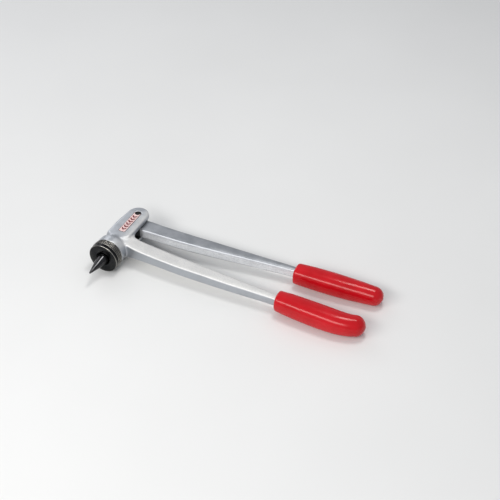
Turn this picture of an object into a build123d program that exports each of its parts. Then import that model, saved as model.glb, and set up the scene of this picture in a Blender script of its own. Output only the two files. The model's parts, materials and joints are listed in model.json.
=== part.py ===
from build123d import *
import os
from math import cos, pi, radians, sin

os.makedirs("parts", exist_ok=True)

# A hand tube expander: two long handles squeeze together, a cam on the moving one pushes
# a roller, and the roller drives a tapered mandrel out through a threaded nose.
# Millimetres. The tool lies flat. The origin is the centre of the nose's front face.
# +X runs along the handles, +Y from the nose back to the pivot, +Z up from the flat side.

# Where the main axes are
PIVOT_X = 2.2           # the pivot sits a little to the handles' side of the mandrel axis
PIVOT_Y = 72.5          # pivot pin behind the nose's front face
OPEN_ANGLE = 70.0       # lever swing from closed to fully open, degrees
STROKE = 8.0            # mandrel travel over that swing

# Nose and mandrel, stations along Y
PILOT_R = 17.2          # smooth front land of the nose
THREAD_R = 17.5         # crest of the thread that expander heads screw onto
THREAD_DEPTH = 1.0
THREAD_PITCH = 2.0
PILOT_LENGTH = 3.4
NOSE_LENGTH = 12.5      # exposed nose, from its front face to the boss
BUSH_END = 18.0         # guide bush inside the nose
SPIGOT_R = 12.0
SPIGOT_END = 26.0
CONE_R = 7.0
CONE_LENGTH = 26.8
SHANK_END = 18.0        # back of the mandrel's plain shank
SOCKET_R = 4.0          # the rod's nose inside the mandrel
SOCKET_START = 6.5
CROSS_PIN_Y = 13.0
ROD_R = 6.0
PISTON_FRONT = 39.0
PISTON_BACK = 44.0
PISTON_R = 9.85
CHAMBER_R = 9.95        # bore for the spring and the piston
CHAMBER_END = 53.0

# Cam, roller and hinge
CAM_CONTACT_R = 17.0    # cam height under the roller with the handles closed
ROLLER_R = 5.5
ROLLER_HALF = 2.9       # half the roller's width
ROLLER_PIN_R = 2.25
PIN_R = 4.0             # pivot pin
BUSH_R = 5.6            # outside of the lever's bush
HUB_R = 9.0             # round back of the lever's hub
HUB_HALF = 5.8          # half the hub's thickness
RUNNING_GAP = 0.05      # radial clearance of everything that turns on a pin

# Casting
BLOCK_LEFT = -12.5
FORK_R = 12.5           # round end of the fork about the pivot
BLOCK_HALF_Z = 12.5
BLOCK_FRONT = 27.0
BOSS_R = 16.8
BOSS_END = 21.4
SLOT_HALF = 6.4         # half the fork slot's width
SLOT_FRONT = 43.0
SLOT_R = 10.2           # inner face of the slot's closed side, from the pivot
SLOT_BACK_X = -0.8      # the back of the slot is open from here to the right
COUNTERBORE_R = 6.8
COUNTERBORE_DEPTH = 2.0

# Handles: a bar's stations are (X, far edge Y, near edge Y, half thickness)
SHOULDER_X = 16.0       # where the lever's arm starts, just clear of the fork
FIXED_ARM = [
    (6.0, 40.6, 22.8, 10.2),
    (16.2, 39.4, 21.9, 9.5),
    (23.0, 38.2, 21.0, 8.3),
    (32.0, 37.6, 20.2, 7.4),
    (48.0, 36.7, 19.2, 6.7),
    (82.0, 33.9, 17.2, 6.4),
    (116.0, 31.5, 16.8, 6.3),
    (152.0, 29.1, 16.8, 6.0),
    (192.0, 26.9, 17.4, 5.6),
    (227.0, 24.8, 15.9, 5.2),
    (260.0, 23.4, 14.8, 5.0),
    (280.0, 25.6, 17.2, 4.8),
]
LEVER_ARM = [
    (SHOULDER_X, 74.6, 55.0, 6.5),
    (46.0, 73.6, 55.9, 6.4),
    (82.0, 73.9, 57.4, 6.3),
    (116.0, 74.6, 60.4, 6.1),
    (152.0, 75.1, 63.9, 5.9),
    (192.0, 75.9, 67.3, 5.6),
    (237.0, 75.6, 67.4, 5.2),
    (282.0, 77.2, 69.4, 4.8),
]
EDGE_R = 2.6            # rounding along the bars' edges

# Grips: stations along the centre line are (X, Y, radius), ending in a round cap
FIXED_GRIP = [
    (197.2, 22.3, 10.5),
    (206.2, 21.7, 11.2),
    (228.2, 20.2, 12.0),
    (252.2, 19.1, 12.3),
    (268.2, 19.0, 12.0),
    (278.2, 20.5, 11.5),
    (283.7, 22.2, 11.2),
]
LEVER_GRIP = [
    (197.2, 70.4, 10.8),
    (207.2, 70.8, 11.3),
    (232.2, 71.4, 11.9),
    (254.2, 72.0, 11.7),
    (272.2, 72.8, 11.0),
    (284.7, 73.2, 10.4),
]

# Label and small hardware
LABEL_SIZE = (8.4, 37.0, 0.4)
LABEL_CENTRE_Y = 55.1
NIB_R = 3.4             # pivot pin's end, standing through the label
LOCK_SCREW_R = 2.5
LOCK_SCREW_Y = 17.5
SPRING_WIRE_R = 0.8
SPRING_MEAN_R = 7.7
SPRING_TURNS = 5

# Derived sizes
CAM_RATE = STROKE / radians(OPEN_ANGLE)         # mandrel travel per radian of lever
ROLLER_Y = PIVOT_Y - CAM_CONTACT_R - ROLLER_R   # roller centre with the handles closed


def turned(points):
    """Solid of revolution about Y from an outline of (radius, y) points."""
    return revolve(make_face(Polyline(*points, close=True)), Axis.Y)


def tube(outer_r, inner_r, y0, y1):
    """Plain tube along Y."""
    return turned([(inner_r, y0), (outer_r, y0), (outer_r, y1), (inner_r, y1)])


def disc_z(radius, z0, z1, x=PIVOT_X, y=PIVOT_Y):
    """Cylinder along Z, by default on the pivot axis."""
    return extrude(Plane((x, y, z0)) * Circle(radius), z1 - z0)


def box(x0, x1, y0, y1, z0, z1):
    """Box from its limits."""
    centre = ((x0 + x1) / 2, (y0 + y1) / 2, (z0 + z1) / 2)
    return Pos(*centre) * Box(x1 - x0, y1 - y0, z1 - z0)


def bar(stations):
    """Handle bar: rounded rectangles lofted along X."""
    sections = []
    for x, far, near, half in stations:
        plane = Plane((x, (far + near) / 2, 0), x_dir=(0, 1, 0), z_dir=(1, 0, 0))
        sections.append(plane * RectangleRounded(far - near, 2 * half, EDGE_R))
    return loft(sections)


def grip_shell(stations):
    """Outside of a dipped grip: circles lofted along a gentle bow, with a round cap."""
    sections = []
    last = len(stations) - 1
    for i, (x, y, r) in enumerate(stations):
        x0, y0, _ = stations[max(i - 1, 0)]
        x1, y1, _ = stations[min(i + 1, last)]
        square_on = (1, 0, 0) if i == 0 else (x1 - x0, y1 - y0, 0)
        sections.append(Plane((x, y, 0), x_dir=(0, 0, 1), z_dir=square_on) * Circle(r))
    x, y, r = stations[last]
    return loft(sections) + Pos(x, y, 0) * Rot(0, 90, 0) * Sphere(r)


def threaded_nose():
    """Steel nose: smooth pilot, thread crests and roots, relief and a spigot behind."""
    outline = [(7.3, 0), (PILOT_R - 0.6, 0), (PILOT_R, 0.6), (PILOT_R, PILOT_LENGTH)]
    root_r = THREAD_R - THREAD_DEPTH
    y = PILOT_LENGTH
    while y + THREAD_PITCH < NOSE_LENGTH - 0.5:
        outline += [(root_r, y + 0.4), (root_r, y + 0.7)]
        outline += [(THREAD_R, y + 1.3), (THREAD_R, y + 1.7)]
        y += THREAD_PITCH
    outline += [(root_r, y + 0.4), (root_r, NOSE_LENGTH)]
    outline += [(SPIGOT_R, NOSE_LENGTH), (SPIGOT_R, SPIGOT_END), (7.3, SPIGOT_END)]
    outline += [(7.3, BUSH_END), (9.0, BUSH_END), (9.0, 3.0), (8.5, 3.0), (8.5, 1.2), (7.3, 1.2)]
    return turned(outline)


def fork_block():
    """Fork end of the casting, round at the back about the pivot."""
    plan = make_face(Polyline(
        (BLOCK_LEFT, BLOCK_FRONT),
        (PIVOT_X + FORK_R, BLOCK_FRONT),
        (PIVOT_X + FORK_R, PIVOT_Y),
        (PIVOT_X - FORK_R, PIVOT_Y),
        (BLOCK_LEFT, CHAMBER_END),
        close=True,
    ))
    plan += Pos(PIVOT_X, PIVOT_Y) * Circle(FORK_R)
    block = extrude(Plane.XY.offset(-BLOCK_HALF_Z) * plan, 2 * BLOCK_HALF_Z)
    rims = block.faces().filter_by(Axis.Z).edges()
    flare_r = 20.5
    flare = turned([(0, 20.0), (12.4, 24.5), (flare_r, 36.0), (flare_r, 95.0), (0, 95.0)])
    return fillet(rims, 2.2) & flare


def boss():
    """Round boss behind the nose, necking down into the fork block."""
    neck_r = 12.2
    neck_end = 36.0
    rim = 1.4
    outline = [
        Line((0, NOSE_LENGTH), (BOSS_R - 0.5, NOSE_LENGTH)),
        Line((BOSS_R - 0.5, NOSE_LENGTH), (BOSS_R, NOSE_LENGTH + 0.5)),
        Line((BOSS_R, NOSE_LENGTH + 0.5), (BOSS_R, BOSS_END)),
        TangentArc((BOSS_R, BOSS_END), (BOSS_R - rim, BOSS_END + rim), tangent=(0, 1)),
        ThreePointArc((BOSS_R - rim, BOSS_END + rim), (13.2, 26.6), (neck_r, neck_end)),
        Line((neck_r, neck_end), (0, neck_end)),
        Line((0, neck_end), (0, NOSE_LENGTH)),
    ]
    return revolve(make_face(outline), Axis.Y)


def fork_slot():
    """Space between the cheeks for the cam, closed on the left, open right and back."""
    reach = 40.0
    left = PIVOT_X - SLOT_R
    plan = Pos(PIVOT_X, PIVOT_Y) * Circle(SLOT_R)
    plan += Pos((left + reach) / 2, (SLOT_FRONT + PIVOT_Y) / 2) * Rectangle(
        reach - left, PIVOT_Y - SLOT_FRONT
    )
    plan += Pos((SLOT_BACK_X + reach) / 2, PIVOT_Y + 10) * Rectangle(reach - SLOT_BACK_X, 20)
    return extrude(Plane.XY.offset(-SLOT_HALF) * plan, 2 * SLOT_HALF)


def lock_screw_body(radius):
    """Cylinder along X through the boss's left wall, down to the nose's spigot."""
    plane = Plane((-SPIGOT_R, LOCK_SCREW_Y, 0), x_dir=(0, 1, 0), z_dir=(-1, 0, 0))
    return plane, extrude(plane * Circle(radius), BOSS_R - SPIGOT_R + 1)


def arm_root():
    """Web that rounds the inside corner between the fork and the fixed arm."""
    side = PIVOT_X + FORK_R
    arm_y = 36.5
    radius = 8.5
    corner = (side + radius, arm_y + radius)
    plan = Pos(side - 1 + (radius + 1) / 2, arm_y - 1 + (radius + 1) / 2) * Rectangle(radius + 1, radius + 1)
    plan -= Pos(*corner) * Circle(radius - 0.6)
    web = extrude(Plane.XY.offset(-8.6) * plan, 17.2)
    return web


def body_casting():
    """Fork, boss and fixed handle in one aluminium casting."""
    seat = NOSE_LENGTH - 0.5
    chamber = SPIGOT_END - 1.0
    casting = fork_block() + boss() + bar(FIXED_ARM) + arm_root()
    casting -= fork_slot()
    casting -= turned([(0, seat), (SPIGOT_R, seat), (SPIGOT_R, SPIGOT_END), (0, SPIGOT_END)])
    casting -= turned([(0, chamber), (CHAMBER_R, chamber), (CHAMBER_R, CHAMBER_END), (0, CHAMBER_END)])
    casting -= disc_z(PIN_R, -20, 20)
    casting -= disc_z(COUNTERBORE_R, -20, -BLOCK_HALF_Z + COUNTERBORE_DEPTH)
    casting -= lock_screw_body(LOCK_SCREW_R)[1]
    return casting


def cam_profile():
    """Cam edge that lifts the roller by the same amount for each degree of swing."""
    pivot = Vector(PIVOT_X, PIVOT_Y)
    drift = PIVOT_X + CAM_RATE
    points = []
    steps = 14
    for i in range(steps + 1):
        a = -0.12 + i * 1.42 / steps
        lift = CAM_CONTACT_R + ROLLER_R - CAM_RATE * a
        roller = Vector(-PIVOT_X * cos(a) - lift * sin(a), PIVOT_X * sin(a) - lift * cos(a))
        tangent = Vector(drift * sin(a) - lift * cos(a), drift * cos(a) + lift * sin(a))
        inward = Vector(tangent.Y, -tangent.X).normalized() * ROLLER_R
        points.append(pivot + roller + inward)
    return points


def lever():
    """Moving handle: hub with the cam, tongue in the fork, and the arm."""
    cam = cam_profile()
    pivot = (PIVOT_X, PIVOT_Y)
    back = (PIVOT_X, PIVOT_Y + HUB_R)
    root_x = SHOULDER_X + 8
    near = LEVER_ARM[0][2] + 1.8
    far = LEVER_ARM[0][1] - 1.8
    outline = [
        Spline(*cam),
        Line(cam[-1], pivot),
        Line(pivot, back),
        Line(back, (SHOULDER_X, far)),
        Line((SHOULDER_X, far), (root_x, far - 1.0)),
        Line((root_x, far - 1.0), (root_x, near + 1.0)),
        Line((root_x, near + 1.0), (SHOULDER_X, near)),
        Line((SHOULDER_X, near), cam[0]),
    ]
    plan = make_face(outline) + Pos(*pivot) * Circle(HUB_R)
    hub = extrude(Plane.XY.offset(-HUB_HALF) * plan, 2 * HUB_HALF)
    return hub + bar(LEVER_ARM) - disc_z(BUSH_R, -20, 20)


def push_rod():
    """Rod with its piston and the two ears that carry the roller."""
    rod = turned([
        (0, SOCKET_START), (SOCKET_R, SOCKET_START), (SOCKET_R, SHANK_END), (ROD_R, SHANK_END),
        (ROD_R, PISTON_FRONT), (PISTON_R, PISTON_FRONT), (PISTON_R, PISTON_BACK), (0, PISTON_BACK),
    ])
    ear = Pos(0, (PISTON_BACK + ROLLER_Y) / 2) * Rectangle(9.0, ROLLER_Y - PISTON_BACK + 0.2)
    ear += Pos(0, ROLLER_Y) * Circle(4.5)
    inner = ROLLER_HALF + 0.2
    outer = SLOT_HALF - 0.2
    for z in (inner, -outer):
        rod += extrude(Plane.XY.offset(z) * ear, outer - inner)
    rod -= disc_z(ROLLER_PIN_R, -20, 20, 0, ROLLER_Y)
    return rod - cone_pin_hole()


def cone_pin_hole():
    """Cross hole that pins the mandrel to its rod."""
    return disc_z(1.5, -CONE_R - 1, CONE_R + 1, 0, CROSS_PIN_Y)


def mandrel():
    """Tapered mandrel with a plain shank and a socket for the rod."""
    tip_r = 0.9
    solid = turned([
        (0, -CONE_LENGTH), (tip_r, -CONE_LENGTH), (CONE_R - 0.2, -0.4), (CONE_R, 0.4),
        (CONE_R, SHANK_END), (SOCKET_R, SHANK_END), (SOCKET_R, SOCKET_START), (0, SOCKET_START),
    ])
    return solid - cone_pin_hole()


def return_spring():
    """Compression spring between the nose's washer and the piston."""
    start = SPIGOT_END + 1.0 + SPRING_WIRE_R + 0.1
    end = PISTON_FRONT - SPRING_WIRE_R - 0.1
    height = end - start
    coil = Helix(pitch=height / SPRING_TURNS, height=height, radius=SPRING_MEAN_R)
    wire = Plane(coil @ 0, z_dir=coil % 0) * Circle(SPRING_WIRE_R)
    spring = sweep(wire, path=coil, is_frenet=True)
    return Pos(0, start, 0) * Rot(-90, 0, 0) * spring


def lock_screw():
    """Grub screw with a hexagon socket."""
    plane, screw = lock_screw_body(LOCK_SCREW_R)
    screw = extrude(plane * Circle(LOCK_SCREW_R), 4.2)
    socket = plane.offset(2.2) * RegularPolygon(1.45, 6)
    return screw - extrude(socket, 3)


def retaining_ring():
    """Open ring in the pivot pin's groove."""
    z0 = -BLOCK_HALF_Z + COUNTERBORE_DEPTH - 1.0
    ring = disc_z(6.2, z0, z0 + 1.0) - disc_z(3.4, z0, z0 + 1.0)
    return ring - box(PIVOT_X - 1.6, PIVOT_X + 1.6, PIVOT_Y, PIVOT_Y + 8, z0 - 1, z0 + 2)


def pivot_pin():
    """Pivot pin, pressed into both cheeks, with a groove below and a nib above."""
    floor = -BLOCK_HALF_Z + COUNTERBORE_DEPTH
    pin = disc_z(PIN_R, -BLOCK_HALF_Z + 0.2, BLOCK_HALF_Z)
    pin += disc_z(NIB_R, BLOCK_HALF_Z, BLOCK_HALF_Z + 0.6)
    groove = disc_z(PIN_R + 1, floor - 1.0, floor) - disc_z(3.4, floor - 1.0, floor)
    return pin - groove


def label_plate():
    """Thin label on the casting's top, with a window for the pin's end."""
    width, length, thickness = LABEL_SIZE
    plan = Pos(PIVOT_X, LABEL_CENTRE_Y) * RectangleRounded(width, length, 1.6)
    plate = extrude(Plane.XY.offset(BLOCK_HALF_Z) * plan, thickness)
    return plate - disc_z(NIB_R + 0.2, 10, 14)


def thrust_washer(z0):
    """Washer between the hub and one cheek."""
    return disc_z(8.5, z0, z0 + 0.5) - disc_z(PIN_R + 0.1, z0, z0 + 0.5)


def cone_pin():
    """Roll pin through the mandrel's shank."""
    half = CONE_R - 0.4
    pin = disc_z(1.5, -half, half, 0, CROSS_PIN_Y)
    return pin - disc_z(0.8, -half, half, 0, CROSS_PIN_Y)


def wiper_ring():
    """Rubber ring that wipes the mandrel where it leaves the nose."""
    return revolve(Pos(7.8, 2.1) * Circle(0.69), Axis.Y)


def roller_pin():
    """Pin through the rod's ears that the roller turns on."""
    return disc_z(ROLLER_PIN_R, -SLOT_HALF + 0.3, SLOT_HALF - 0.3, 0, ROLLER_Y)


def cam_roller():
    """Hardened roller that follows the cam."""
    roller = disc_z(ROLLER_R, -ROLLER_HALF, ROLLER_HALF, 0, ROLLER_Y)
    return roller - disc_z(ROLLER_PIN_R + RUNNING_GAP, -ROLLER_HALF, ROLLER_HALF, 0, ROLLER_Y)


def lever_bush():
    """Plain bush pressed into the lever's hub."""
    return disc_z(BUSH_R, -HUB_HALF, HUB_HALF) - disc_z(PIN_R + RUNNING_GAP, -HUB_HALF, HUB_HALF)


PARTS = {
    "body_casting": body_casting(),
    "threaded_nose": threaded_nose(),
    "nose_lock_screw": lock_screw(),
    "nose_guide_bush": tube(9.0, CONE_R + RUNNING_GAP, 3.0, BUSH_END),
    "nose_wiper_ring": wiper_ring(),
    "spring_washer": tube(9.6, 7.3, SPIGOT_END, SPIGOT_END + 1.0),
    "return_spring": return_spring(),
    "pivot_pin": pivot_pin(),
    "pin_retaining_ring": retaining_ring(),
    "label_plate": label_plate(),
    "fixed_grip": grip_shell(FIXED_GRIP) - bar(FIXED_ARM),
    "mandrel_cone": mandrel(),
    "mandrel_cross_pin": cone_pin(),
    "push_rod": push_rod(),
    "roller_pin": roller_pin(),
    "cam_roller": cam_roller(),
    "lever": lever(),
    "lever_bush": lever_bush(),
    "upper_thrust_washer": thrust_washer(HUB_HALF),
    "lower_thrust_washer": thrust_washer(-HUB_HALF - 0.5),
    "lever_grip": grip_shell(LEVER_GRIP) - bar(LEVER_ARM),
}

for name, shape in PARTS.items():
    export_step(shape, f"parts/{name}.step")
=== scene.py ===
import json
import math

import bmesh
import bpy
import numpy as np
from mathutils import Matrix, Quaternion, Vector, noise


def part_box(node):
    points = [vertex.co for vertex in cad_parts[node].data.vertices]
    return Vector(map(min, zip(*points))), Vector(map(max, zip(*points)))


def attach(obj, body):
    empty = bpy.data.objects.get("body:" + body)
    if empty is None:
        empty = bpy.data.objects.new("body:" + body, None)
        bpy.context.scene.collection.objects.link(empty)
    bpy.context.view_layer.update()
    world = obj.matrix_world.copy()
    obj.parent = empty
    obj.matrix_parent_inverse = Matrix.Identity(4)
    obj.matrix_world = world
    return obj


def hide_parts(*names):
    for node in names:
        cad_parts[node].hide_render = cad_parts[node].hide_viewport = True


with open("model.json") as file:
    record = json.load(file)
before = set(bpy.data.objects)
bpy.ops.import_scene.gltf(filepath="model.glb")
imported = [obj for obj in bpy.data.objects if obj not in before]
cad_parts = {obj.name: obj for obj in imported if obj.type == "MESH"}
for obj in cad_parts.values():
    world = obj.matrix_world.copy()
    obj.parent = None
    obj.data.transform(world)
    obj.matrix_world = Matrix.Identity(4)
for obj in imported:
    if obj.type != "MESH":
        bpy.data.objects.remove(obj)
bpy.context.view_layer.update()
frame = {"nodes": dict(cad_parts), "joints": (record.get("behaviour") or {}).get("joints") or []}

MM = 0.001
PIVOT = Vector(frame["joints"][0]["pos_m"])
ROLLER_AXIS = Vector(frame["joints"][2]["pos_m"])

# Sizes in mm
CREST_R = 17.5          # the nose's thread, as in the CAD
THREAD_DEPTH = 1.0
THREAD_PITCH = 2.0
CHAMBER_R = 9.97        # bore that the piston runs in, 0.02 wider than in the CAD
CHAMBER_START, CHAMBER_END = 27.0, 52.9
SLOT_HALF = 6.5         # just past half the height of the fork's slot
VOXEL = 0.56            # remeshing step of the casting and the lever
PARTING_LINE = 0.06     # height of the line left by the dies


# ---------------------------------------------------------------- node helpers

class Nodes:
    """Short hand for building a node material."""

    def __init__(self, name):
        self.mat = bpy.data.materials.new(name)
        self.mat.use_nodes = True
        self.tree = self.mat.node_tree
        self.shader = self.tree.nodes["Principled BSDF"]
        self.coords = self.tree.nodes.new("ShaderNodeTexCoord").outputs["Object"]

    def link(self, a, b):
        self.tree.links.new(a, b)

    def set(self, **values):
        for key, value in values.items():
            self.shader.inputs[key.replace("_", " ")].default_value = value

    def stretched(self, scale):
        node = self.tree.nodes.new("ShaderNodeMapping")
        node.inputs["Scale"].default_value = scale
        self.link(self.coords, node.inputs["Vector"])
        return node.outputs["Vector"]

    def noise(self, scale, detail=3.0, rough=0.55, vector=None):
        node = self.tree.nodes.new("ShaderNodeTexNoise")
        node.inputs["Scale"].default_value = scale
        node.inputs["Detail"].default_value = detail
        node.inputs["Roughness"].default_value = rough
        self.link(vector or self.coords, node.inputs["Vector"])
        return node.outputs["Fac"]

    def cells(self, scale):
        node = self.tree.nodes.new("ShaderNodeTexVoronoi")
        node.inputs["Scale"].default_value = scale
        self.link(self.coords, node.inputs["Vector"])
        return node.outputs["Distance"]

    def spread(self, value, lo, hi, out_lo, out_hi):
        node = self.tree.nodes.new("ShaderNodeMapRange")
        node.inputs["From Min"].default_value = lo
        node.inputs["From Max"].default_value = hi
        node.inputs["To Min"].default_value = out_lo
        node.inputs["To Max"].default_value = out_hi
        self.link(value, node.inputs["Value"])
        return node.outputs["Result"]

    def math(self, operation, a, b=None):
        node = self.tree.nodes.new("ShaderNodeMath")
        node.operation = operation
        for i, value in enumerate((a, b)):
            if value is None:
                continue
            if isinstance(value, (int, float)):
                node.inputs[i].default_value = value
            else:
                self.link(value, node.inputs[i])
        return node.outputs[0]

    def mix(self, factor, a, b):
        node = self.tree.nodes.new("ShaderNodeMix")
        node.data_type = "RGBA"
        self.link(factor, node.inputs["Factor"])
        for socket, value in ((node.inputs["A"], a), (node.inputs["B"], b)):
            if isinstance(value, tuple):
                socket.default_value = (*value, 1)
            else:
                self.link(value, socket)
        return node.outputs["Result"]

    def axis(self, name):
        node = self.tree.nodes.new("ShaderNodeSeparateXYZ")
        self.link(self.coords, node.inputs[0])
        return node.outputs[name]

    def facing(self, name):
        geometry = self.tree.nodes.new("ShaderNodeNewGeometry")
        node = self.tree.nodes.new("ShaderNodeSeparateXYZ")
        self.link(geometry.outputs["Normal"], node.inputs[0])
        return node.outputs[name]

    def length(self, a, b):
        squares = self.math("POWER", a, 2), self.math("POWER", b, 2)
        return self.math("SQRT", self.math("ADD", *squares))

    def slot_shade_mask(self):
        """1 on surfaces in the fork's slot, where the hub runs: the mask of the painted shade
        there.
        """
        x = self.math("SUBTRACT", self.axis("X"), PIVOT.x)
        y = self.math("MAXIMUM", self.math("SUBTRACT", self.axis("Y"), PIVOT.y), 0.0)
        near = self.spread(self.length(x, y), 0.0112, 0.0121, 1, 0)
        height = self.math("ABSOLUTE", self.axis("Z"))
        between = self.spread(height, SLOT_HALF * MM, (SLOT_HALF + 0.2) * MM, 1, 0)
        behind = self.spread(self.axis("Y"), 0.042, 0.044, 0, 1)
        return self.math("MULTIPLY", self.math("MULTIPLY", near, between), behind)

    def edges(self, lo, hi):
        node = self.tree.nodes.new("ShaderNodeNewGeometry")
        return self.spread(node.outputs["Pointiness"], lo, hi, 0, 1)

    def bump(self, height, distance, strength=1.0, after=None):
        node = self.tree.nodes.new("ShaderNodeBump")
        node.inputs["Strength"].default_value = strength
        node.inputs["Distance"].default_value = distance
        self.link(height, node.inputs["Height"])
        if after is not None:
            self.link(after, node.inputs["Normal"])
        return node.outputs["Normal"]

    def out(self, **sockets):
        for key, value in sockets.items():
            self.link(value, self.shader.inputs[key.replace("_", " ")])
        return self.mat


# ---------------------------------------------------------------- materials

PIT_GREY = (0.20, 0.21, 0.23)
WORN_METAL = (0.92, 0.93, 0.95)
# painted shade for the inside of the fork's slot and the lever's hub in it
SLOT_SHADE = (0.030, 0.029, 0.028)


def scaled(tint, by):
    return tuple(c * by for c in tint)


def cast_aluminium(name, dark, light, rough, painted_side_tone, side_metal, arm=None):
    """Tumbled aluminium casting: fine grain, soft mottling, small pits, bright worn edges.

    sides is the tint of upright skin, painted shade where it is darker than the flats and painted
    light where it is lighter; side_metal is its metallic share.
    arm is (X, metallic share, roughness added, tint): from that X on, the flats are matt and carry
    that tint as painted light.
    """
    n = Nodes(name)
    flat = n.math("ABSOLUTE", n.facing("Z"))
    upright = n.spread(flat, 0.2, 0.6, 1, 0)
    metallic = n.spread(upright, 0, 1, 0.9, side_metal)
    mottle = n.noise(70, 4)
    speckle = n.noise(620, 3)
    colour = n.mix(n.spread(mottle, 0.35, 0.65, 0, 1), dark, light)
    roughness = n.spread(mottle, 0.3, 0.7, rough - 0.05, rough + 0.07)
    # painted light: from start on, the arm's flats get the light tint, as well as more roughness
    # and less metal
    if arm:
        start, metal, matt, tint = arm
        ripple = n.math("MULTIPLY", n.math("SUBTRACT", n.noise(90, 2), 0.5), 0.010)
        along = n.spread(n.math("ADD", n.axis("X"), ripple), start, start + 0.014, 0, 1)
        flats = n.spread(flat, 0.30, 0.75, 0.10, 1)
        linished = n.math("MULTIPLY", along, flats)
        pale = n.mix(n.spread(mottle, 0.35, 0.65, 0, 1), scaled(tint, 0.92), tint)
        colour = n.mix(linished, colour, pale)
        roughness = n.math("ADD", roughness, n.math("MULTIPLY", linished, matt))
        metallic = n.math("MINIMUM", metallic, n.spread(linished, 0, 1, 0.9, metal))
    # painted light and shade: upright skin gets its own tint, darker than the flats on the casting,
    # lighter on the lever
    painted_side_colour = n.mix(n.spread(mottle, 0.3, 0.7, 0, 1), painted_side_tone, scaled(painted_side_tone, 1.12))
    colour = n.mix(upright, colour, painted_side_colour)
    colour = n.mix(n.spread(speckle, 0.45, 0.75, 0, 0.30), colour, dark)
    streaks = n.noise(40, 3, vector=n.stretched((2.0, 14.0, 14.0)))
    colour = n.mix(n.spread(streaks, 0.5, 0.8, 0, 0.18), colour, dark)
    pits = n.spread(n.cells(420), 0.0, 0.12, 1, 0)
    colour = n.mix(n.math("MULTIPLY", pits, 0.3), colour, PIT_GREY)
    worn = n.edges(0.515, 0.56)
    colour = n.mix(n.math("MULTIPLY", worn, 0.6), colour, WORN_METAL)
    roughness = n.math("ADD", roughness, n.math("MULTIPLY", worn, -0.10))
    # painted shade: the inside of the fork's slot and the lever's hub are darkened
    colour = n.mix(n.math("MULTIPLY", n.slot_shade_mask(), 0.9), colour, SLOT_SHADE)
    grain = n.bump(n.noise(1300, 2), 0.00006, 0.6)
    peel = n.bump(n.noise(380, 3), 0.00012, 0.6, grain)
    return n.out(Base_Color=colour, Roughness=roughness, Metallic=metallic, Normal=peel)


def black_oxide(name, rough, crest=None):
    """Oiled black oxide: brownish bloom, rubbed bright on the thread's crests and the front rim."""
    n = Nodes(name)
    n.set(Metallic=0.9)
    bloom = n.noise(90, 3)
    colour = n.mix(n.spread(bloom, 0.4, 0.7, 0, 1), (0.014, 0.015, 0.017), (0.030, 0.030, 0.029))
    if crest:
        radius = n.length(n.axis("X"), n.axis("Z"))
        rubbed = n.spread(radius, crest - 0.00028, crest - 0.00008, 0, 1)
        outer = n.spread(radius, 0.0165, 0.0167, 0, 1)
        front = n.spread(n.axis("Y"), 0.0004, 0.0006, 0.7, 0)
        rubbed = n.math("MAXIMUM", rubbed, n.math("MULTIPLY", outer, front))
        uneven = n.spread(n.noise(45, 2), 0.35, 0.65, 0.7, 1)
        colour = n.mix(n.math("MULTIPLY", rubbed, uneven), colour, (0.48, 0.46, 0.42))
    roughness = n.spread(n.noise(160, 2), 0.3, 0.7, rough - 0.04, rough + 0.06)
    skin = n.bump(n.noise(700, 2), 0.00001, 0.2)
    return n.out(Base_Color=colour, Roughness=roughness, Normal=skin)


def polished_mandrel():
    """Blacked and polished taper with faint turning rings."""
    n = Nodes("mandrel_steel")
    n.set(Metallic=1.0)
    rings = n.noise(30, 2, vector=n.stretched((1.0, 90.0, 1.0)))
    light_turns = n.spread(rings, 0.35, 0.65, 0, 1)
    colour = n.mix(light_turns, (0.042, 0.042, 0.046), (0.062, 0.061, 0.062))
    roughness = n.spread(n.noise(200, 3), 0.3, 0.7, 0.12, 0.19)
    return n.out(Base_Color=colour, Roughness=roughness, Normal=n.bump(rings, 0.00002, 0.5))


def ground_steel(name, tint, rough):
    """Ground or drawn steel with fine lay and a little oil."""
    n = Nodes(name)
    n.set(Metallic=1.0)
    lay = n.noise(60, 3, vector=n.stretched((6.0, 6.0, 50.0)))
    colour = n.mix(n.spread(lay, 0.35, 0.65, 0, 1), scaled(tint, 0.72), tint)
    roughness = n.spread(n.noise(260, 3), 0.3, 0.7, rough - 0.06, rough + 0.08)
    return n.out(Base_Color=colour, Roughness=roughness, Normal=n.bump(lay, 0.00003, 0.5))


def sintered_bronze():
    n = Nodes("bronze")
    n.set(Metallic=0.95)
    spots = n.noise(500, 4)
    colour = n.mix(n.spread(spots, 0.4, 0.65, 0, 1), (0.36, 0.21, 0.08), (0.62, 0.40, 0.18))
    return n.out(Base_Color=colour, Roughness=n.spread(spots, 0.3, 0.7, 0.32, 0.5),
                 Normal=n.bump(spots, 0.00004, 0.6))


def soft_rubber():
    n = Nodes("nitrile")
    dust = n.noise(180, 4)
    colour = n.mix(n.spread(dust, 0.5, 0.8, 0, 1), (0.012, 0.012, 0.013), (0.05, 0.05, 0.048))
    return n.out(Base_Color=colour, Roughness=n.spread(dust, 0.3, 0.7, 0.55, 0.75),
                 Normal=n.bump(n.noise(900, 2), 0.00004, 0.5))


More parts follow.
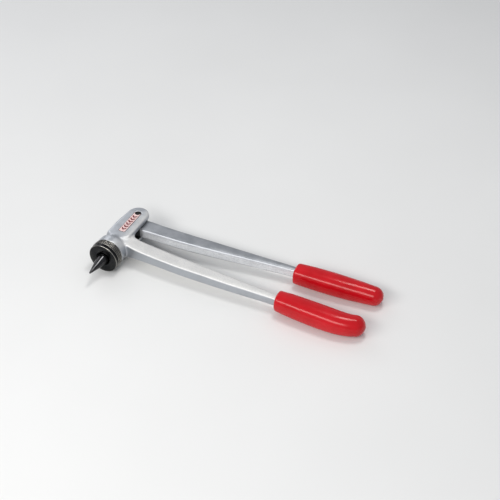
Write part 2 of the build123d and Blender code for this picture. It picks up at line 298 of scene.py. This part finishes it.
def dipped_vinyl():
    """Glossy dipped vinyl: deep red, slightly uneven skin, a few scuffs."""
    n = Nodes("red_vinyl")
    n.set(IOR=1.44, Specular_IOR_Level=0.5, Specular_Tint=(1.0, 0.80, 0.78, 1.0))
    depth = n.noise(45, 3)
    colour = n.mix(n.spread(depth, 0.35, 0.65, 0, 1), (0.50, 0.0040, 0.009), (0.60, 0.0065, 0.014))
    specks = n.spread(n.noise(650, 3), 0.62, 0.78, 0, 0.25)
    colour = n.mix(specks, colour, (0.70, 0.025, 0.03))
    scuffs = n.spread(n.noise(60, 4, vector=n.stretched((3.0, 40.0, 22.0))), 0.60, 0.74, 0, 1)
    roughness = n.spread(depth, 0.3, 0.7, 0.17, 0.23)
    roughness = n.math("ADD", roughness, n.math("MULTIPLY", scuffs, 0.10))
    skin = n.bump(n.noise(420, 2), 0.00007, 0.3)
    sag = n.bump(n.noise(75, 2), 0.00035, 0.25, skin)
    return n.out(Base_Color=colour, Roughness=roughness, Normal=sag)


def printed_film(name, tint, fade, rough):
    """Printed label film: ink with small voids and rubbed places."""
    n = Nodes(name)
    n.set(IOR=1.5, Coat_Weight=0.25, Coat_Roughness=0.2)
    wear = n.noise(900, 4)
    colour = n.mix(n.spread(wear, 0.52, 0.70, 0, 1), tint, fade)
    roughness = n.spread(n.noise(200, 2), 0.3, 0.7, rough - 0.05, rough + 0.08)
    grain = n.bump(n.noise(1200, 2), 0.00002, 0.4)
    return n.out(Base_Color=colour, Roughness=roughness, Normal=grain)


def pale_floor():
    n = Nodes("floor")
    tone = n.noise(2.5, 3)
    colour = n.mix(n.spread(tone, 0.3, 0.7, 0, 1), (0.80, 0.80, 0.79), (0.84, 0.84, 0.83))
    return n.out(Base_Color=colour, Roughness=n.spread(tone, 0.3, 0.7, 0.62, 0.72))


MATERIALS = {
    # casting: the darker upright sides are painted shade, the arm's light-tinted flats are painted
    # light
    "cast": cast_aluminium(
        "cast_aluminium", (0.46, 0.48, 0.51), (0.60, 0.62, 0.65), 0.38,
        painted_side_tone=(0.42, 0.44, 0.47), side_metal=0.88, arm=(0.003, 0.55, 0.16, (0.80, 0.79, 0.77))),
    # lever: a darker copy of the casting's tone, painted shade on its top; its lighter upright
    # sides are painted light
    "lever": cast_aluminium(
        "lever_aluminium", (0.37, 0.385, 0.41), (0.48, 0.495, 0.52), 0.40,
        painted_side_tone=(0.80, 0.81, 0.83), side_metal=0.55),
    "nose": black_oxide("black_steel", 0.26, crest=CREST_R * MM),
    "black": black_oxide("black_steel_small", 0.42),
    "mandrel": polished_mandrel(),
    "steel": ground_steel("bright_steel", (0.62, 0.62, 0.63), 0.28),
    "spring": ground_steel("spring_steel", (0.34, 0.34, 0.36), 0.38),
    "bronze": sintered_bronze(),
    "rubber": soft_rubber(),
    "vinyl": dipped_vinyl(),
    "film": printed_film("label_film", (0.82, 0.62, 0.60), (0.74, 0.46, 0.45), 0.32),
    "ink": printed_film("label_ink", (0.16, 0.008, 0.012), (0.26, 0.03, 0.03), 0.36),
    "rim_ink": printed_film("label_rim_ink", (0.05, 0.035, 0.035), (0.12, 0.08, 0.08), 0.36),
}


# ---------------------------------------------------------------- mesh helpers

def add_object(name, mesh, body, material, nodes=()):
    """Puts a finished mesh in the scene as a piece that rides on a body."""
    obj = bpy.data.objects.new(name, mesh)
    bpy.context.scene.collection.objects.link(obj)
    mesh.materials.clear()
    mesh.materials.append(MATERIALS[material])
    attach(obj, body)
    if nodes:
        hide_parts(*nodes)
    return obj


def settle(obj):
    """Applies the object's modifiers to its mesh."""
    graph = bpy.context.evaluated_depsgraph_get()
    mesh = bpy.data.meshes.new_from_object(obj.evaluated_get(graph))
    obj.modifiers.clear()
    obj.data = mesh
    return mesh


def read_points(mesh):
    co = np.empty(len(mesh.vertices) * 3)
    mesh.vertices.foreach_get("co", co)
    return co.reshape(-1, 3)


def recast(node, name, body, material, passes, waviness):
    """Evenly remeshed copy of a cast part, worked over so that cast edges and corners go round.

    passes is a list of (rounds, function that gives each point its weight).
    """
    obj = bpy.data.objects.new(name, frame["nodes"][node].data.copy())
    bpy.context.scene.collection.objects.link(obj)
    even = obj.modifiers.new("even", "REMESH")
    even.mode = "VOXEL"
    even.voxel_size = VOXEL * MM
    settle(obj)
    points = read_points(obj.data) / MM
    for k, (rounds, softness) in enumerate(passes):
        weights = softness(points)
        group = obj.vertex_groups.new(name=f"cast_{k}")
        for level in range(1, 11):
            members = np.nonzero(np.round(weights * 10) == level)[0]
            group.add(members.tolist(), level / 10, "REPLACE")
        smooth = obj.modifiers.new(f"soft_{k}", "SMOOTH")
        smooth.factor = 0.5
        smooth.iterations = rounds
        smooth.vertex_group = group.name
    mesh = settle(obj)
    obj.vertex_groups.clear()
    weather(mesh, passes[0][1](points), waviness)
    mesh.polygons.foreach_set("use_smooth", [True] * len(mesh.polygons))
    bpy.data.objects.remove(obj)
    return add_object(name, mesh, body, material, (node,))


def weather(mesh, weights, waviness):
    """Cast skin: slow waves in the surface and a faint parting line round the mid plane."""
    points = read_points(mesh)
    normals = np.empty(len(mesh.vertices) * 3)
    mesh.vertices.foreach_get("normal", normals)
    normals = normals.reshape(-1, 3)
    slow = np.array([noise.noise(Vector(p) * 55.0) for p in points])
    line = np.exp(-(points[:, 2] / (0.35 * MM)) ** 2) * np.clip(1 - 3 * np.abs(normals[:, 2]), 0, 1)
    push = weights * (slow * waviness + line * PARTING_LINE * MM)
    points += normals * push[:, None]
    mesh.vertices.foreach_set("co", points.ravel())
    mesh.update()


def finished(name, bm, sharp_above=None):
    """Turns a bmesh into a smooth-shaded mesh, with edges sharper than an angle kept sharp."""
    bmesh.ops.recalc_face_normals(bm, faces=bm.faces)
    mesh = bpy.data.meshes.new(name)
    bm.to_mesh(mesh)
    bm.free()
    mesh.shade_smooth()
    if sharp_above:
        mesh.set_sharp_from_angle(angle=math.radians(sharp_above))
    return mesh


def lathe(name, profile, centre, axis, steps):
    """Closed turned solid. The profile is a list of (radius, height) in mm along the skin."""
    bm = bmesh.new()
    turn = Vector((0, 0, 1)).rotation_difference(Vector(axis))
    rings = []
    for r, h in profile:
        ring = []
        for i in range(steps if r > 0 else 1):
            a = 2 * math.pi * i / steps
            point = Vector((r * MM * math.cos(a), r * MM * math.sin(a), h * MM))
            ring.append(bm.verts.new(turn @ point + centre))
        rings.append(ring)
    open_bore = len(rings[0]) > 1
    pairs = list(zip(rings, rings[1:])) + ([(rings[-1], rings[0])] if open_bore else [])
    for low, high in pairs:
        for i in range(steps):
            j = (i + 1) % steps
            corners = (low[i % len(low)], low[j % len(low)],
                       high[j % len(high)], high[i % len(high)])
            bm.faces.new(list(dict.fromkeys(corners)))
    return finished(name, bm, sharp_above=38)


# ---------------------------------------------------------------- casting and lever

def casting_softness(p):
    """1 where the skin is as cast, near 0 on the machined seats, bores and slot."""
    x, y, z = p.T
    weight = np.ones(len(p))
    from_axis = np.hypot(x, z)
    from_pivot = np.hypot(x - PIVOT.x / MM, y - PIVOT.y / MM)
    weight[(y < 13.4) & (from_axis < 16.9)] = 0.3
    weight[(from_pivot < 7.4) & (np.abs(z) > 5)] = 0.1
    weight[(np.abs(z) < 6.9) & (y > 42.5) & (x < 14.0)] = 0.15
    weight[(from_axis < 10.6) & (y < 56)] = 0.1
    return weight


def root_softness(p):
    """Where block, boss and arm run into one another, above and below."""
    x, y, z = p.T
    across, along, up = (x - 9.0) / 9.0, (y - 27.0) / 9.0, (np.abs(z) - 11.0) / 8.0
    return np.clip(1.5 - np.sqrt(across ** 2 + along ** 2 + up ** 2), 0, 1)


def lever_softness(p):
    """1 on the arm, near 0 on the hub that runs in the fork."""
    return np.where(p[:, 0] < 16.3, 0.15, 1.0)


def rebore(mesh):
    """Sets skin that stands into the piston's chamber back on the bored radius."""
    points = read_points(mesh) / MM
    y, radius = points[:, 1], np.hypot(points[:, 0], points[:, 2])
    proud = (y > CHAMBER_START) & (y < CHAMBER_END) & (radius > 9.3) & (radius < CHAMBER_R)
    outward = (CHAMBER_R / radius[proud])[:, None]
    points[np.ix_(proud, [0, 2])] *= outward
    mesh.vertices.foreach_set("co", (points * MM).ravel())
    mesh.update()


casting = recast("body_casting", "fork_and_fixed_arm", "housing", "cast",
                 ((40, casting_softness), (70, root_softness)), 0.05 * MM)
rebore(casting.data)
recast("lever", "lever_arm", "lever", "lever",
       ((80, lever_softness),), 0.05 * MM)


# ---------------------------------------------------------------- threaded nose

def nose_mesh():
    """Nose with a true single-start thread that fades in at the land and out at the relief."""
    steps = 240
    start, end, run_out = 3.4, 11.6, 0.9
    outer = [(7.3, 1.6), (7.5, 1.2), (8.1, 0.35), (8.6, 0.0),
             (12.0, 0.0), (16.5, 0.0), (16.8, 0.15), (17.1, 0.5)]
    inner = [(12.0, 12.5), (12.0, 25.6), (11.6, 26.0), (7.6, 26.0), (7.3, 25.7), (7.3, 1.8)]
    heights = np.arange(0.7, 12.51, 0.08)

    def radius(h, a):
        phase = ((h - start) / THREAD_PITCH - a / (2 * math.pi)) % 1.0
        groove = min(max((abs(phase - 0.5) - 0.08) / 0.34, 0), 1)
        into = min(max((h - start) / run_out, 0), 1)
        out_of = min(max((end - h) / run_out, 0), 1)
        land = CREST_R - 0.3 if h < start + 0.45 else CREST_R - THREAD_DEPTH
        threaded = CREST_R - THREAD_DEPTH * groove
        blend = into * out_of
        return land * (1 - blend) + threaded * blend

    bm = bmesh.new()
    rings = []
    for i in range(steps):
        a = 2 * math.pi * i / steps
        skin = outer + [(radius(h, a), h) for h in heights] + inner
        rings.append([bm.verts.new(Vector((r * math.cos(a), h, r * math.sin(a))) * MM)
                      for r, h in skin])
    count = len(rings[0])
    for i in range(steps):
        here, after = rings[i], rings[(i + 1) % steps]
        for k in range(count):
            m = (k + 1) % count
            bm.faces.new((here[k], here[m], after[m], after[k]))
    return finished("nose_with_thread", bm, sharp_above=75)


add_object("nose_with_thread", nose_mesh(), "housing", "nose",
           ("threaded_nose",))


# ---------------------------------------------------------------- mandrel, roller, pins

def mandrel_mesh():
    """Cone with a slightly blunted tip on a plain shank."""
    tip_r, tip_y, base_r, base_y = 0.93, -26.35, 6.8, -0.6
    tip = [(0.0, -26.8), (0.45, -26.78), (0.75, -26.62), (tip_r, tip_y)]
    taper = [(tip_r + (base_r - tip_r) * t, tip_y + (base_y - tip_y) * t)
             for t in np.linspace(0.04, 1, 24)]
    shank = [(6.92, -0.2), (6.99, 0.3), (7.0, 0.8), (7.0, 17.6), (6.6, 18.0), (0.0, 18.0)]
    return lathe("mandrel_taper", tip + taper + shank, Vector((0, 0, 0)), (0, 1, 0), 96)


def pivot_pin_mesh():
    """Pin with a slightly dished nib above and its groove below."""
    outline = [(0.0, 12.92), (1.2, 12.94), (2.2, 13.02), (2.8, 13.1), (3.15, 13.02),
               (3.35, 12.8), (3.4, 12.4), (3.8, 12.3), (4.0, 12.1), (4.0, -9.5), (3.4, -9.55),
               (3.4, -10.45), (4.0, -10.5), (4.0, -12.0), (3.7, -12.3), (1.0, -12.3),
               (0.6, -12.0), (0.0, -12.0)]
    return lathe("pivot_pin_turned", outline, Vector((PIVOT.x, PIVOT.y, 0)), (0, 0, 1), 64)


def roller_mesh():
    """Roller with chamfered edges and an open bore."""
    outline = [(2.3, -2.7), (2.5, -2.9), (5.0, -2.9), (5.5, -2.4),
               (5.5, 2.4), (5.0, 2.9), (2.5, 2.9), (2.3, 2.7)]
    return lathe("roller_turned", outline, ROLLER_AXIS, (0, 0, 1), 64)


add_object("mandrel_taper", mandrel_mesh(), "mandrel", "mandrel",
           ("mandrel_cone",))
add_object("pivot_pin_turned", pivot_pin_mesh(), "housing", "black",
           ("pivot_pin",))
add_object("roller_turned", roller_mesh(), "roller", "steel", ("cam_roller",))


# ---------------------------------------------------------------- grips

def through(stations, count):
    """Smooth line through stations of (x, y, radius), evenly divided."""
    s = np.array(stations, float)
    run = np.concatenate([[0], np.cumsum(np.hypot(*np.diff(s[:, :2], axis=0).T))])
    slopes = np.gradient(s, run, axis=0)
    t = np.linspace(0, run[-1], count)
    k = np.clip(np.searchsorted(run, t, side="right") - 1, 0, len(run) - 2)
    h = (run[k + 1] - run[k])[:, None]
    u = ((t - run[k]) / (run[k + 1] - run[k]))[:, None]
    a, b = s[k], s[k + 1]
    return ((2 * u**3 - 3 * u**2 + 1) * a + (u**3 - 2 * u**2 + u) * h * slopes[k]
            + (-2 * u**3 + 3 * u**2) * b + (u**3 - u**2) * h * slopes[k + 1])


# Rolled mouth of a grip: (step along X, distance in from the grip's radius), in mm
MOUTH = ((0.0, 7.0), (0.0, 3.2), (-0.25, 2.0), (-0.15, 1.1), (0.25, 0.45), (0.9, 0.1))
MOUTH_INSET = 0.25
MOUTH_LENGTH = 1.3
SQUARE, ROUND = 2.35, 2.0       # superellipse powers at the mouth and at the closed end
LUMP = 0.14                     # unevenness of the dipped skin, in mm


def grip_mesh(name, stations, seed):
    """Dipped grip: rolled mouth, softly square section that goes round at the closed end."""
    steps = 72
    line = through(stations, 90)
    rings = []

    def ring(x, y, r, forward, square):
        side = Vector((-forward.y, forward.x, 0))
        points = []
        for i in range(steps):
            a = 2 * math.pi * i / steps
            c, s = math.cos(a), math.sin(a)
            outward = side * c + Vector((0, 0, 1)) * s
            swell = (abs(c) ** square + abs(s) ** square) ** (-1 / square)
            p = Vector((x, y, 0)) + outward * (r * swell)
            lump = noise.noise(Vector((p.x * 0.045 + seed, c * 0.8, s * 0.8)))
            points.append((p + outward * (LUMP * (lump - 0.5))) * MM)
        return points

    x0, y0, r0 = line[0]
    for step, inward in MOUTH:
        rings.append(ring(x0 + MOUTH_INSET + step, y0, r0 - inward, Vector((1, 0, 0)), SQUARE))
    for i, (x, y, r) in enumerate(line[1:], 1):
        before, after = line[i - 1], line[min(i + 1, len(line) - 1)]
        forward = Vector((after[0] - before[0], after[1] - before[1], 0)).normalized()
        if x < x0 + MOUTH_LENGTH:
            continue
        square = SQUARE - (SQUARE - ROUND) * (i / (len(line) - 1)) ** 3
        rings.append(ring(x, y, r, forward, square))
    for k in range(1, 16):
        a = math.pi / 2 * k / 16
        reach = forward * (r * math.sin(a))
        rings.append(ring(x + reach.x, y + reach.y, r * math.cos(a), forward, ROUND))
    bm = bmesh.new()
    rows = [[bm.verts.new(p) for p in points] for points in rings]
    for low, high in zip(rows, rows[1:]):
        for i in range(steps):
            j = (i + 1) % steps
            bm.faces.new((low[i], low[j], high[j], high[i]))
    tip = bm.verts.new((Vector((x, y, 0)) + forward * (r - 0.05)) * MM)
    root = bm.verts.new(Vector((x0 + MOUTH_INSET, y0, 0)) * MM)
    for i in range(steps):
        j = (i + 1) % steps
        bm.faces.new((rows[-1][i], rows[-1][j], tip))
        bm.faces.new((rows[0][j], rows[0][i], root))
    return finished(name, bm)


# Stations along the centre lines, as (X, Y, radius) in mm
FIXED_GRIP = [
    (197.2, 22.3, 10.5), (206.2, 21.7, 11.2), (228.2, 20.2, 12.0), (252.2, 19.1, 12.3),
    (268.2, 19.0, 12.0), (278.2, 20.5, 11.5), (283.7, 22.2, 11.2),
]
LEVER_GRIP = [
    (197.2, 70.4, 10.8), (207.2, 70.8, 11.3), (232.2, 71.4, 11.9),
    (254.2, 72.0, 11.7), (272.2, 72.8, 11.0), (284.7, 73.2, 10.4),
]
add_object("fixed_grip_dipped", grip_mesh("fixed_grip_dipped", FIXED_GRIP, seed=3.1),
           "housing", "vinyl", ("fixed_grip",))
add_object("lever_grip_dipped", grip_mesh("lever_grip_dipped", LEVER_GRIP, seed=9.7),
           "lever", "vinyl", ("lever_grip",))


# ---------------------------------------------------------------- label

def plate_mesh(name, outline, z0, z1, bevel):
    """Thin plate from an outline of (x, y) in mm, with its upper edge eased."""
    bm = bmesh.new()
    low = [bm.verts.new(Vector((x, y, z0)) * MM) for x, y in outline]
    centre = Vector((sum(x for x, _ in outline), sum(y for _, y in outline))) / len(outline)
    mid = [bm.verts.new(Vector((x, y, z1 - bevel)) * MM) for x, y in outline]
    top = []
    for x, y in outline:
        away = (Vector((x, y)) - centre).normalized() * bevel
        top.append(bm.verts.new(Vector((x - away.x, y - away.y, z1)) * MM))
    for a, b in ((low, mid), (mid, top)):
        for i in range(len(a)):
            j = (i + 1) % len(a)
            bm.faces.new((a[i], a[j], b[j], b[i]))
    bm.faces.new(top)
    bm.faces.new(list(reversed(low)))
    bmesh.ops.recalc_face_normals(bm, faces=bm.faces)
    mesh = bpy.data.meshes.new(name)
    bm.to_mesh(mesh)
    bm.free()
    return mesh


def rounded_box(cx, cy, width, length, radius):
    points = []
    for k, (sx, sy) in enumerate(((1, 1), (-1, 1), (-1, -1), (1, -1))):
        for i in range(7):
            a = math.pi / 2 * (k + i / 6)
            points.append((cx + sx * (width / 2 - radius) + radius * math.cos(a),
                           cy + sy * (length / 2 - radius) + radius * math.sin(a)))
    return points


def arrow(cx, cy, half, length, thick):
    """Chevron that points down the mandrel's stroke."""
    return [(cx - half, cy + length), (cx, cy + length - half * 0.9), (cx + half, cy + length),
            (cx + half, cy + length - thick), (cx, cy + length - thick - half * 0.9),
            (cx - half, cy + length - thick)]


RIM_WIDTH = 0.4         # dark edge round the label's ground
MARKS = 6
FIRST_MARK = -15.4      # from the label's middle, along Y
MARK_STEP = 4.7
label_low, label_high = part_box("label_plate")
label_x = (label_low.x + label_high.x) / 2 / MM
label_y = (label_low.y + label_high.y) / 2 / MM
label_z = label_low.z / MM
label_width = (label_high.x - label_low.x) / MM
label_length = (label_high.y - label_low.y) / MM
rim = plate_mesh("label_rim", rounded_box(label_x, label_y, label_width, label_length, 1.6),
                 label_z - 0.1, label_z + 0.28, 0.08)
add_object("label_rim", rim, "housing", "rim_ink", ("label_plate",))
ground_outline = rounded_box(
    label_x, label_y, label_width - 2 * RIM_WIDTH, label_length - 2 * RIM_WIDTH, 1.3)
ground = plate_mesh("label_ground", ground_outline, label_z, label_z + 0.34, 0.05)
add_object("label_ground", ground, "housing", "film")
for k in range(MARKS):
    chevron = arrow(label_x, label_y + FIRST_MARK + MARK_STEP * k, half=2.7, length=4.6, thick=2.4)
    mark = plate_mesh(f"label_mark_{k + 1}", chevron, label_z + 0.3, label_z + 0.39, 0.02)
    add_object(f"label_mark_{k + 1}", mark, "housing", "ink")


# ---------------------------------------------------------------- CAD nodes that stay

KEPT = {
    "nose_lock_screw": "black", "nose_guide_bush": "bronze", "nose_wiper_ring": "rubber",
    "spring_washer": "steel", "return_spring": "spring", "pin_retaining_ring": "spring",
    "mandrel_cross_pin": "spring", "push_rod": "steel", "roller_pin": "steel",
    "lever_bush": "bronze", "upper_thrust_washer": "steel", "lower_thrust_washer": "steel",
}
for node, material in KEPT.items():
    for material_slot in frame["nodes"][node].material_slots:
        material_slot.material = MATERIALS[material]


# ---------------------------------------------------------------- floor, light, camera

def make_floor():
    """Pale floor that touches the nose and both grips, so it leans by about one degree."""
    under_nose = Vector((0, 6, -17.5))
    under_grips = Vector((252.2, 19.1, -12.35)), Vector((232.2, 71.4, -11.95))
    a, b, c = (p * MM for p in (under_nose, *under_grips))
    normal = (b - a).cross(c - a).normalized()
    mesh = bpy.data.meshes.new("floor")
    bm = bmesh.new()
    bmesh.ops.create_grid(bm, x_segments=24, y_segments=24, size=4.0)
    bm.to_mesh(mesh)
    bm.free()
    floor = bpy.data.objects.new("floor", mesh)
    bpy.context.scene.collection.objects.link(floor)
    floor.rotation_mode = "QUATERNION"
    floor.rotation_quaternion = Vector((0, 0, 1)).rotation_difference(normal)
    floor.location = a - normal * 0.05 * MM
    mesh.materials.append(pale_floor())


def area_light(name, location, target, size, power, tint):
    data = bpy.data.lights.new(name, "AREA")
    data.shape = "RECTANGLE"
    data.size, data.size_y = size
    data.energy = power
    data.color = tint
    light = bpy.data.objects.new(name, data)
    bpy.context.scene.collection.objects.link(light)
    light.location = location
    light.rotation_mode = "QUATERNION"
    light.rotation_quaternion = (Vector(target) - Vector(location)).to_track_quat("-Z", "Y")


def make_world():
    world = bpy.data.worlds.new("studio")
    world.use_nodes = True
    sky = world.node_tree.nodes["Background"]
    sky.inputs["Color"].default_value = (0.93, 0.95, 1.0, 1)
    sky.inputs["Strength"].default_value = 0.44
    bpy.context.scene.world = world


def make_camera():
    data = bpy.data.cameras.new("camera")
    data.lens = 81.2
    data.sensor_width = 36
    data.clip_start, data.clip_end = 0.05, 50
    camera = bpy.data.objects.new("camera", data)
    bpy.context.scene.collection.objects.link(camera)
    camera.location = (0.5438, -0.7751, 0.7850)
    camera.rotation_mode = "QUATERNION"
    aim = (Vector((0.1362, 0.0838, 0.0)) - camera.location).to_track_quat("-Z", "Y")
    camera.rotation_quaternion = aim @ Quaternion((0, 0, 1), math.radians(0.58))
    bpy.context.scene.camera = camera


make_floor()
LIGHTS = {      # location, target, size, power, tint
    "front_strip": ((-0.15, -0.95, 0.78), (0.13, 0.03, 0), (1.3, 0.30), 10.5, (1.0, 0.99, 0.97)),
    "overhead": ((0.20, 0.26, 1.05), (0.05, 0.03, 0), (0.27, 0.24), 2.8, (1.0, 1.0, 0.98)),
    "back_left": ((-0.8, 0.6, 0.7), (0.05, 0.0, 0), (0.6, 0.5), 1.6, (0.97, 0.98, 1.0)),
}
for name, settings in LIGHTS.items():
    area_light(name, *settings)
make_world()
make_camera()
bpy.context.scene.view_settings.view_transform = "Standard"
